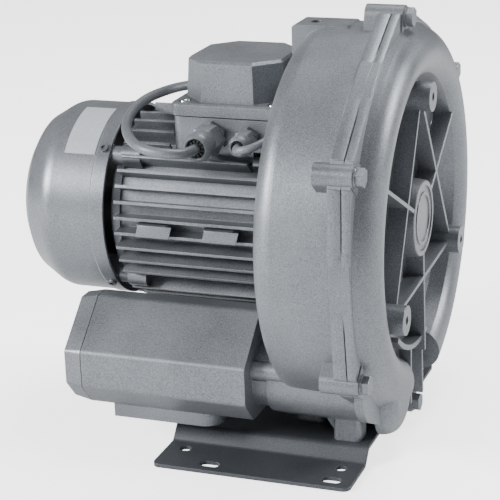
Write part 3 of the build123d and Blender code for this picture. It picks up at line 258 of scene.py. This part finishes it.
def flange_band(name, x0, x1):
    """Band from x0 to x1, whose rim follows the flange's outline."""
    inner_r = FLANGE_R - BAND_DEPTH
    bm = spun_ring([(x0, inner_r), (x0, FLANGE_R), (x1, FLANGE_R), (x1, inner_r)],
                   (1, 0, 0), BAND_STEPS)
    for v in bm.verts:
        angle = atan2(v.co.z, v.co.y)
        r = hypot(v.co.y, v.co.z)
        if on_rim(v):
            v.co.y *= flange_radius(angle) / r
            v.co.z *= flange_radius(angle) / r
    # Only the edges that run round the band, not those across it.
    rims = [e for e in bm.edges if all(on_rim(v) for v in e.verts)
            and abs(e.verts[0].co.x - e.verts[1].co.x) < 0.01]
    round_edges(bm, rims, RIM_ROUND, 2)
    bmesh.ops.recalc_face_normals(bm, faces=bm.faces)
    return machine_piece(name, bm)


motor_band = flange_band("motor_flange_band", JOINT_X - MOTOR_BAND, JOINT_X - PARTING_GAP)
cover_band = flange_band("cover_flange_band", JOINT_X + PARTING_GAP, JOINT_X + COVER_BAND)

# %% [markdown]
# ## Ledge fins
# Beside the terminal box the uppermost fin of each flank runs out over the screw ears as a
# ledge. It could be a copy of a fin from the housing, but those are one casting and can't be
# copied singly. One box does it, with its edges rounded as the cast fins' are, turned about the
# shaft to its place.

# %% Ledge fins
LEDGE_ANGLE = radians(41.6)
LEDGE_X = (-230.0, -124.0)
LEDGE_ROOT_R = 63.5
LEDGE_TIP_R = 79.0
LEDGE_THICKNESS = 2.6
LEDGE_ROUND = 0.7


def ledge_fin(name, turn):
    """Fin beside the terminal box, turned about the shaft from +y towards +z."""
    x0, x1 = LEDGE_X
    bm = bmesh.new()
    bmesh.ops.create_cube(bm, size=1)
    bmesh.ops.scale(bm, vec=(x1 - x0, LEDGE_TIP_R - LEDGE_ROOT_R, LEDGE_THICKNESS),
                    verts=bm.verts)
    round_edges(bm, bm.edges[:], LEDGE_ROUND, 3)
    bmesh.ops.translate(bm, vec=((x0 + x1) / 2, (LEDGE_ROOT_R + LEDGE_TIP_R) / 2, 0),
                        verts=bm.verts)
    bmesh.ops.rotate(bm, cent=(0, 0, 0), matrix=Matrix.Rotation(turn, 3, "X"), verts=bm.verts)
    return machine_piece(name, bm)


near_ledge = ledge_fin("near_ledge_fin", pi - LEDGE_ANGLE)
far_ledge = ledge_fin("far_ledge_fin", LEDGE_ANGLE)

# %% [markdown]
# ## Pad faces
# Two flat faces for a name plate or bracket stand across the middle fins. They are unmachined
# on this side: plain plates with slanted ends. A cube could be cut to the slant, but a four-
# cornered face needs no cut: it is extruded to its thickness and all its edges are rounded.

# %% Pad faces
PAD_OUT = 82.1
PAD_TOP = 3.6
PAD_BOTTOM = -6.4
PAD_SLANT = 3.0
PAD_THICKNESS = 1.2
PAD_ROUND = 0.5


def pad_face(name, x0, x1):
    """Slanted plate on the near flank between x0 and x1."""
    bm = bmesh.new()
    corners = [(x0 + PAD_SLANT, PAD_TOP), (x1, PAD_TOP),
               (x1 - PAD_SLANT, PAD_BOTTOM), (x0, PAD_BOTTOM)]
    verts = [bm.verts.new((x, -PAD_OUT, z)) for x, z in corners]
    face = bm.faces.new(verts)
    grown = bmesh.ops.extrude_face_region(bm, geom=[face])
    moved = [v for v in grown["geom"] if isinstance(v, bmesh.types.BMVert)]
    bmesh.ops.translate(bm, vec=(0, -PAD_THICKNESS, 0), verts=moved)
    round_edges(bm, bm.edges[:], PAD_ROUND, 3)
    bmesh.ops.recalc_face_normals(bm, faces=bm.faces)
    return machine_piece(name, bm)


rear_pad = pad_face("rear_pad_face", -211.5, -180.0)
front_pad = pad_face("front_pad_face", -155.5, -124.0)

# %% [markdown]
# ## Gland nuts
# A cable gland's cap nut has a hexagon for the spanner and a round nose with an open mouth. A
# prism and a cylinder could be joined, but one closed skin shades better where the two meet. So
# the section is spun about the gland's own axis, and the vertices of the hexagon's length are
# then pushed out from the round to the distance of the flats over the cosine of their angle.

# %% Gland nuts
GLAND_Z = 69.0
BOX_SIDE_Y = -48.0
BODY_FLANGE = 6.4
HEX_START = 0.42
RING_STEPS = 48
LARGE_GLAND = {"x": -156.0, "length": 38.0, "mouth_r": 7.6}
SMALL_GLAND = {"x": -126.0, "length": 27.0, "mouth_r": 5.2}


def gland_nut(name, stands_for, nose_r, flats, x, length, mouth_r):
    """Cap nut along -y from the terminal box's side, with an open mouth."""
    mouth_y = BOX_SIDE_Y - length
    seat_y = BOX_SIDE_Y - BODY_FLANGE
    hex_end_y = mouth_y + HEX_START * length
    flat_face = [(mouth_r, seat_y), (flats / 2, seat_y), (flats / 2, hex_end_y)]
    shoulder = [(nose_r * 0.98, hex_end_y - 0.8), (nose_r, hex_end_y - 2.2)]
    rounded_nose = [(nose_r, mouth_y + 4.2), (nose_r - 0.9, mouth_y + 1.9),
                    (nose_r - 2.6, mouth_y + 0.4)]
    lip = [(mouth_r + 1.0, mouth_y), (mouth_r, mouth_y + 0.8)]
    bm = spun_ring(flat_face + shoulder + rounded_nose + lip, (0, 1, 0), RING_STEPS)
    for v in bm.verts:
        if v.co.y > hex_end_y - 0.1 and hypot(v.co.x, v.co.z) > mouth_r + 0.5:
            off = (atan2(v.co.z, v.co.x) % (pi / 3)) - pi / 6
            v.co.x /= cos(off)
            v.co.z /= cos(off)
    bmesh.ops.recalc_face_normals(bm, faces=bm.faces)
    bmesh.ops.translate(bm, vec=(x, 0, GLAND_Z), verts=bm.verts)
    piece = machine_piece(name, bm)
    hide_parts(stands_for)
    return piece


large_nut = gland_nut("large_gland_nut", "large_gland_cap_nut", 11.5, 22.5, **LARGE_GLAND)
small_nut = gland_nut("small_gland_nut", "small_gland_cap_nut", 8.5, 17.0, **SMALL_GLAND)

# %% [markdown]
# ## Gland seals
# In the nut's mouth a ring of black rubber grips the cable, split into fingers so that the nut
# can close it. The fingers could be modelled one by one, but only their ends are seen, deep in
# the mouth. So the ring is spun whole, and every fourth vertex of its front is pushed back,
# which draws the slits between the fingers.

# %% Gland seals
SEAL_FINGERS = 12
SEAL_SET_BACK = 1.6
SEAL_DEPTH = 8
SLIT_DEPTH = 1.3


def gland_seal(name, cable_r, x, length, mouth_r):
    """Black seal between the cable and the nut's mouth, slit into fingers."""
    front_y = BOX_SIDE_Y - length + SEAL_SET_BACK
    inner_r, outer_r = cable_r + 0.05, mouth_r - 0.2
    bm = spun_ring([(inner_r, front_y + 1.0), (cable_r + 0.5, front_y), (outer_r, front_y + 0.6),
                    (outer_r, front_y + SEAL_DEPTH), (inner_r, front_y + SEAL_DEPTH)],
                   (0, 1, 0), RING_STEPS)
    for v in bm.verts:
        step = round(atan2(v.co.z, v.co.x) / (2 * pi) * RING_STEPS)
        if step % (RING_STEPS // SEAL_FINGERS) == 0 and v.co.y < front_y + 0.7:
            v.co.y += SLIT_DEPTH
    bmesh.ops.recalc_face_normals(bm, faces=bm.faces)
    bmesh.ops.translate(bm, vec=(x, 0, GLAND_Z), verts=bm.verts)
    return machine_piece(name, bm)


large_seal = gland_seal("large_gland_seal", LARGE_LEAD / 2, **LARGE_GLAND)
small_seal = gland_seal("small_gland_seal", SMALL_LEAD / 2, **SMALL_GLAND)

# %% [markdown]
# ## Lid screws
# Pan-head screws hold the terminal box lid, each stopped at its own angle. A cross could be cut
# into the head with a boolean, but pushing faces down needs no cutting tool. The head is a low
# dome, grown ring by ring from its middle, with rings at the radii where the cross recess
# starts and ends. The faces under the four arms and the middle are then pushed down, which
# makes the recess.

# %% Lid screws
SCREW_SEAT_Z = 93.2
SCREW_PLACES = [(x, y) for x in (-181.8, -108.5) for y in (-39.6, 39.6)]
FIRST_TURN = 20
NEXT_TURN = 35
HEAD_STEPS = 24
CROSS_ARMS = 4
RECESS_DEPTH = 1.3
DOME = [(0.5, 3.25), (2.3, 3.1), (3.4, 2.7), (4.1, 1.8), (4.4, 0.6), (4.2, 0.0)]


def pan_head(bm, x, y, turn):
    """One pan head with its cross recess, added to the bmesh."""
    middle_r, middle_z = DOME[0]
    arm_r = DOME[1][0]
    top = bmesh.ops.create_circle(bm, cap_ends=True, segments=HEAD_STEPS, radius=middle_r)["verts"]
    bmesh.ops.translate(bm, vec=(0, 0, middle_z), verts=top)
    made = list(top)
    recess = list(top[0].link_faces)
    loop = list(recess[0].edges)
    for r, z in DOME[1:]:
        grown = bmesh.ops.extrude_edge_only(bm, edges=loop)["geom"]
        verts = [g for g in grown if isinstance(g, bmesh.types.BMVert)]
        loop = [g for g in grown if isinstance(g, bmesh.types.BMEdge)]
        for v in verts:
            k = r / hypot(v.co.x, v.co.y)
            v.co = (v.co.x * k, v.co.y * k, z)
        if r == arm_r:
            for face in {f for v in verts for f in v.link_faces}:
                middle = face.calc_center_median()
                step = round(atan2(middle.y, middle.x) / (2 * pi / HEAD_STEPS) - 0.5)
                if step % (HEAD_STEPS // CROSS_ARMS) == 0:
                    recess.append(face)
        made.extend(verts)
    sunk = bmesh.ops.extrude_face_region(bm, geom=recess)["geom"]
    floor_verts = [g for g in sunk if isinstance(g, bmesh.types.BMVert)]
    bmesh.ops.delete(bm, geom=recess, context="FACES")
    bmesh.ops.translate(bm, vec=(0, 0, -RECESS_DEPTH), verts=floor_verts)
    made.extend(floor_verts)
    bmesh.ops.rotate(bm, cent=(0, 0, 0), matrix=Matrix.Rotation(turn, 3, "Z"), verts=made)
    bmesh.ops.translate(bm, vec=(x, y, SCREW_SEAT_Z), verts=made)


screws_bm = bmesh.new()
for i, (x, y) in enumerate(SCREW_PLACES):
    pan_head(screws_bm, x, y, radians(FIRST_TURN + NEXT_TURN * i))
bmesh.ops.recalc_face_normals(screws_bm, faces=screws_bm.faces)
lid_screws = machine_piece("lid_pan_screws", screws_bm)
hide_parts("terminal_lid_screws")

# %% [markdown]
# ## Floor and light
# A catalogue shows such a machine in an even light that still draws each fin. A picture of a
# studio could light it, but it would put reflections in the paint that nobody chose. So the
# floor is pale and runs far out, with a large soft key light from the upper left, a weak fill
# from the front, a soft light overhead and a small one on the cover's side. The floor is stage,
# not part of the blower. Places and sizes are in metres and powers in watts.

# %% Floor and light
FLOOR_HALF = 12
FLOOR_DROP = 0.0002
LIGHTS_AIM = (0.0, 0.0, 0.18)
WORLD_STRENGTH = 0.22

floor_mesh = bpy.data.meshes.new("floor")
floor_bm = bmesh.new()
bmesh.ops.create_grid(floor_bm, x_segments=1, y_segments=1, size=FLOOR_HALF)
floor_bm.to_mesh(floor_mesh)
floor_bm.free()
floor = bpy.data.objects.new("floor", floor_mesh)
floor.location.z = -FLOOR_DROP
bpy.context.scene.collection.objects.link(floor)


def soft_light(name, spot, size, power):
    """Round area light that points at the machine's middle."""
    data = bpy.data.lights.new(name, "AREA")
    data.shape = "DISK"
    data.size = size
    data.energy = power
    lamp = bpy.data.objects.new(name, data)
    lamp.location = spot
    to_aim = Vector(LIGHTS_AIM) - Vector(spot)
    lamp.rotation_euler = to_aim.to_track_quat("-Z", "Y").to_euler()
    bpy.context.scene.collection.objects.link(lamp)


soft_light("key_light", (-2.1, -1.7, 1.3), 1.0, 130)
soft_light("front_fill", (-0.6, -2.4, 1.9), 1.2, 14)
soft_light("top_light", (0.3, 0.6, 2.3), 1.2, 44)
soft_light("edge_light", (1.9, 1.0, 1.1), 0.6, 40)
world = bpy.data.worlds.new("studio")
bpy.context.scene.world = world
world.use_nodes = True
world.node_tree.nodes["Background"].inputs["Color"].default_value = (1, 1, 1, 1)
world.node_tree.nodes["Background"].inputs["Strength"].default_value = WORLD_STRENGTH
lamps = [item for item in bpy.context.scene.objects if item.type == "LIGHT"]
print("lights:", {lamp.name: lamp.data.energy for lamp in lamps})

# %% [markdown]
# ## Colour and node helpers
# Colours are written as the sRGB hex codes that a paint card would give. Cycles works with
# linear light, so one function turns a hex code into linear values. Nodes could be placed by
# hand in the editor, but a script can be read and changed: a second function adds any node with
# its settings and links. A Mix node for colours has its two colours at the inputs MIX_A and
# MIX_B and its result at the output MIXED.

# %% Helpers for materials
MIX_A, MIX_B, MIXED = 6, 7, 2


def paint_code(hex_code):
    values = []
    for i in (0, 2, 4):
        s = int(hex_code[i:i + 2], 16) / 255
        values.append(s / 12.92 if s <= 0.04045 else ((s + 0.055) / 1.055) ** 2.4)
    return (*values, 1)


def add_node(tree, kind, settings=None, inputs=None):
    """Add one node. An input is a plain value, or a (node, output) pair to link."""
    node = tree.nodes.new(kind)
    for key, value in (settings or {}).items():
        setattr(node, key, value)
    for key, value in (inputs or {}).items():
        if isinstance(value, tuple) and len(value) == 2 and hasattr(value[0], "outputs"):
            tree.links.new(value[0].outputs[value[1]], node.inputs[key])
        else:
            node.inputs[key].default_value = value
    return node


def new_material(name):
    material = bpy.data.materials.new(name)
    material.use_nodes = True
    tree = material.node_tree
    shader = tree.nodes["Principled BSDF"]
    coords = add_node(tree, "ShaderNodeTexCoord")
    return material, tree, shader, coords


print("mid grey 808080 in linear light:", round(paint_code("808080")[0], 3))

# %% [markdown]
# ## Silver-grey paint
# A metallic enamel sprayed over sand-blasted aluminium and over sheet. To the eye it is a soft
# satin grey that is a little alive. An image of paint could carry this, but a pattern worked
# out in the material needs no unwrapping and stays sharp up close. Three things are drawn. The
# aluminium flake speckles the grey, so a fine noise mixes a dark and a light grey; flake is
# really about 0.05 mm and is drawn at 0.8 mm so that it shows in a picture of this size. The
# coat follows the casting's own skin, which gives a soft orange-peel bump about 2 mm across.
# Paint draws back from sharp edges, so they are paler, and the same pale line is also a painted
# highlight that stands in for the light the edges catch: a Bevel node's normal differs from the
# surface's own only near an edge, and that difference is the mask. The same rounded normal makes
# every cast edge catch the light as a 0.7 mm radius would. A slow stain, about 55 mm across,
# shifts the grey and the gloss a little from place to place.

# %% Silver-grey paint
FLAKE = 0.8 * MM
PEEL = 2.0 * MM
STAIN = 55 * MM
EDGE = 0.7 * MM
STAIN_SHARE = 0.3
GREY_FROM, GREY_TO = 0.45, 0.85
EDGE_FROM, EDGE_TO, EDGE_COVER = 0.97, 0.75, 0.6
PEEL_STRENGTH = 0.5
GLOSSIER, DULLER = 0.05, 0.06


def sprayed_enamel(name, dark, light, edge_grey_and_highlight, roughness, peel_depth, metallic):
    material, tree, shader, coords = new_material(name)
    flake = add_node(tree, "ShaderNodeTexNoise", {}, {
        "Vector": (coords, "Object"), "Scale": 1 / FLAKE, "Detail": 2.0, "Roughness": 0.7})
    stain = add_node(tree, "ShaderNodeTexNoise", {}, {
        "Vector": (coords, "Object"), "Scale": 1 / STAIN, "Detail": 3.0})
    both = add_node(tree, "ShaderNodeMath", {"operation": "MULTIPLY_ADD"}, {
        0: (stain, "Fac"), 1: STAIN_SHARE, 2: (flake, "Fac")})
    tone = add_node(tree, "ShaderNodeMapRange", {}, {
        "Value": (both, "Value"), "From Min": GREY_FROM, "From Max": GREY_TO})
    grey = add_node(tree, "ShaderNodeMix", {"data_type": "RGBA"}, {
        0: (tone, "Result"), MIX_A: paint_code(dark), MIX_B: paint_code(light)})
    rounded = add_node(tree, "ShaderNodeBevel", {"samples": 4}, {"Radius": EDGE})
    own_normal = add_node(tree, "ShaderNodeNewGeometry")
    likeness = add_node(tree, "ShaderNodeVectorMath", {"operation": "DOT_PRODUCT"}, {
        0: (rounded, "Normal"), 1: (own_normal, "Normal")})
    # Pale edges: thinner paint there, and a painted highlight along every edge.
    edge_paint_and_highlight = add_node(tree, "ShaderNodeMapRange", {}, {
        "Value": (likeness, "Value"), "From Min": EDGE_FROM, "From Max": EDGE_TO,
        "To Max": EDGE_COVER})
    colour = add_node(tree, "ShaderNodeMix", {"data_type": "RGBA"}, {
        0: (edge_paint_and_highlight, "Result"), MIX_A: (grey, MIXED), MIX_B: paint_code(edge_grey_and_highlight)})
    peel = add_node(tree, "ShaderNodeTexNoise", {}, {
        "Vector": (coords, "Object"), "Scale": 1 / PEEL, "Detail": 2.0})
    bump = add_node(tree, "ShaderNodeBump", {}, {
        "Height": (peel, "Fac"), "Strength": PEEL_STRENGTH, "Distance": peel_depth * MM,
        "Normal": (rounded, "Normal")})
    gloss = add_node(tree, "ShaderNodeMapRange", {}, {
        "Value": (stain, "Fac"), "From Min": 0.3, "From Max": 0.7,
        "To Min": roughness - GLOSSIER, "To Max": roughness + DULLER})
    tree.links.new(colour.outputs[MIXED], shader.inputs["Base Color"])
    tree.links.new(gloss.outputs["Result"], shader.inputs["Roughness"])
    tree.links.new(bump.outputs["Normal"], shader.inputs["Normal"])
    shader.inputs["Metallic"].default_value = metallic
    return material


# Columns: dark and light grey, edge grey with painted highlight, roughness, peel depth in mm,
# metallic.
# Castings are rougher under the paint than sheet, the foot is drawn darker, and on the soft
# jackets the paint dries duller.
casting_paint = sprayed_enamel(
    "silver_enamel_on_castings", "5B5F64", "8C9095", "A9ADB1", 0.42, 0.2, 0.55)
cowl_paint = sprayed_enamel(
    "silver_enamel_on_sheet", "61656A", "8E9297", "A4A8AC", 0.38, 0.1, 0.55)
foot_paint = sprayed_enamel(
    "grey_enamel_on_foot", "3F4247", "5A5D62", "74777B", 0.45, 0.1, 0.35)
jacket_paint = sprayed_enamel(
    "silver_enamel_on_jackets", "5C6065", "82868B", "8E9296", 0.48, 0.1, 0.35)
print("paints:", [paint.name for paint in (casting_paint, cowl_paint, foot_paint, jacket_paint)])

# %% [markdown]
# ## Other finishes
# The parts that the spray didn't reach: plated screws, ground bearing steel, the core and the
# winding, black rubber and plastic, brass and foam. Each could be one flat colour, but a real
# surface is never that even, so a fine noise mixes two near tones and gives a shallow bump.
# Each starts from the usual values for its material.

# %% Other finishes
def plain_finish(name, dark, light, roughness, metallic, grain, bump_depth):
    """Finish with a grain and a bump depth in millimetres."""
    material, tree, shader, coords = new_material(name)
    noise = add_node(tree, "ShaderNodeTexNoise", {}, {
        "Vector": (coords, "Object"), "Scale": 1 / (grain * MM), "Detail": 3.0})
    colour = add_node(tree, "ShaderNodeMix", {"data_type": "RGBA"}, {
        0: (noise, "Fac"), MIX_A: paint_code(dark), MIX_B: paint_code(light)})
    bump = add_node(tree, "ShaderNodeBump", {}, {
        "Height": (noise, "Fac"), "Strength": 0.3, "Distance": bump_depth * MM})
    tree.links.new(colour.outputs[MIXED], shader.inputs["Base Color"])
    tree.links.new(bump.outputs["Normal"], shader.inputs["Normal"])
    shader.inputs["Roughness"].default_value = roughness
    shader.inputs["Metallic"].default_value = metallic
    return material


# Columns: dark and light colour, roughness, metallic, grain in mm, bump depth in mm.
finishes = {
    "painted_casting": casting_paint,
    "painted_sheet": foot_paint,
    "painted_gland": jacket_paint,
    "painted_lead": jacket_paint,
    # Zinc plate: a soft blue-grey shine with a faint mottle.
    "zinc_steel": plain_finish(
        "zinc_plated_steel", "6F7276", "8D9195", 0.38, 0.85, 1.5, 0.02),
    # Nickel plate: the brightest spots on the machine, almost a mirror.
    "bright_screw": plain_finish(
        "nickel_plated_steel", "C8CACC", "E6E7E8", 0.18, 1.0, 1.0, 0.01),
    # Ground steel: a clean, hard shine.
    "bearing_steel": plain_finish(
        "ground_bearing_steel", "A9ABAD", "C9CACB", 0.22, 1.0, 0.8, 0.01),
    # Stacked sheet: dark, with a fine grain like the edges of the sheets.
    "core_steel": plain_finish(
        "stacked_core_steel", "4A4C50", "66686C", 0.5, 0.8, 0.5, 0.05),
    # Enamelled wire: a brown-red gloss, as uneven as a wound coil.
    "copper_winding": plain_finish(
        "enamelled_copper_wire", "7A3E1C", "A8602E", 0.3, 0.6, 0.8, 0.2),
    # Cast aluminium, unpainted: pale and dull from the mould's grain.
    "impeller_aluminium": plain_finish(
        "cast_aluminium", "9A9C9E", "B9BBBD", 0.45, 0.9, 1.0, 0.05),
    # Moulded nylon: an even black with a dull sheen.
    "black_plastic": plain_finish(
        "moulded_black_nylon", "0C0C0D", "191A1B", 0.5, 0.0, 1.0, 0.03),
    # Turned brass: a warm yellow, bright from the cutting tool.
    "brass": plain_finish(
        "turned_brass", "A88638", "C8A656", 0.3, 1.0, 0.8, 0.01),
    # Nitrile rubber: black that hardly shines.
    "seal_rubber": plain_finish(
        "black_nitrile_rubber", "101011", "1C1C1D", 0.7, 0.0, 1.0, 0.03),
    # Open-cell foam: dark, with pores of about 1 mm and no shine.
    "foam": plain_finish(
        "open_cell_foam", "1E1F21", "35373A", 0.95, 0.0, 1.2, 0.4),
    # Printed film without print: a smooth pale grey with a slight gloss.
    "plate_film": plain_finish(
        "grey_polyester_film", "A9AFB5", "C3C8CD", 0.35, 0.2, 4.0, 0.01),
}
print("finishes:", len(finishes))

# %% [markdown]
# ## Finishes on the pieces
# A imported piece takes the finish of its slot. They could be given one by one, but the record
# already says which piece is made of what, so only the exceptions are listed: the cowl is sheet
# with a slightly glossier coat, and the bolts of the casing and the foot were on the machine
# when it was sprayed.

# %% Finishes on the pieces
sprayed_apart = {"fan_cowl": cowl_paint}
for name in ("casing_bolts", "casing_bolt_washers", "foot_bolts"):
    sprayed_apart[name] = casting_paint
slot_of = {part["node"]: part["material_slot"] for part in frame["record"]["subparts"]}
for name, node in frame["nodes"].items():
    node.data.materials.clear()
    node.data.materials.append(sprayed_apart.get(name, finishes[slot_of[name]]))

added_pieces = {
    casting_paint: (motor_band, cover_band, near_ledge, far_ledge, rear_pad, front_pad),
    jacket_paint: (large_jacket, small_jacket, large_nut, small_nut),
    finishes["seal_rubber"]: (large_seal, small_seal),
    finishes["bright_screw"]: (lid_screws,),
}
for finish, pieces in added_pieces.items():
    for piece in pieces:
        piece.data.materials.append(finish)
    print(finish.name, "on", len(pieces), "added pieces")

# %% [markdown]
# ## White sweep
# In a studio, white paper runs up behind the machine and gets its own lamps. Lamps for the
# paper could be added here, but they would light the machine too. So the floor itself glows:
# strongly for the camera alone, and only faintly for the machine, whose underside would
# otherwise look lit from below.

# %% White sweep
GLOW_ON_MACHINE = 0.12
GLOW_TO_CAMERA = 2.2

floor_paint = plain_finish("matt_white_sweep", "FAFAFA", "FFFFFF", 0.9, 0.0, 300, 0.01)
sweep_tree = floor_paint.node_tree
sweep_shader = sweep_tree.nodes["Principled BSDF"]
sweep_shader.inputs["Emission Color"].default_value = (1, 1, 1, 1)
rays = add_node(sweep_tree, "ShaderNodeLightPath")
glow = add_node(sweep_tree, "ShaderNodeMapRange", {}, {
    "Value": (rays, "Is Camera Ray"), "To Min": GLOW_ON_MACHINE, "To Max": GLOW_TO_CAMERA})
sweep_tree.links.new(glow.outputs["Result"], sweep_shader.inputs["Emission Strength"])
floor.data.materials.append(floor_paint)
print("sweep glows", GLOW_TO_CAMERA, "to the camera,", GLOW_ON_MACHINE, "on the machine")
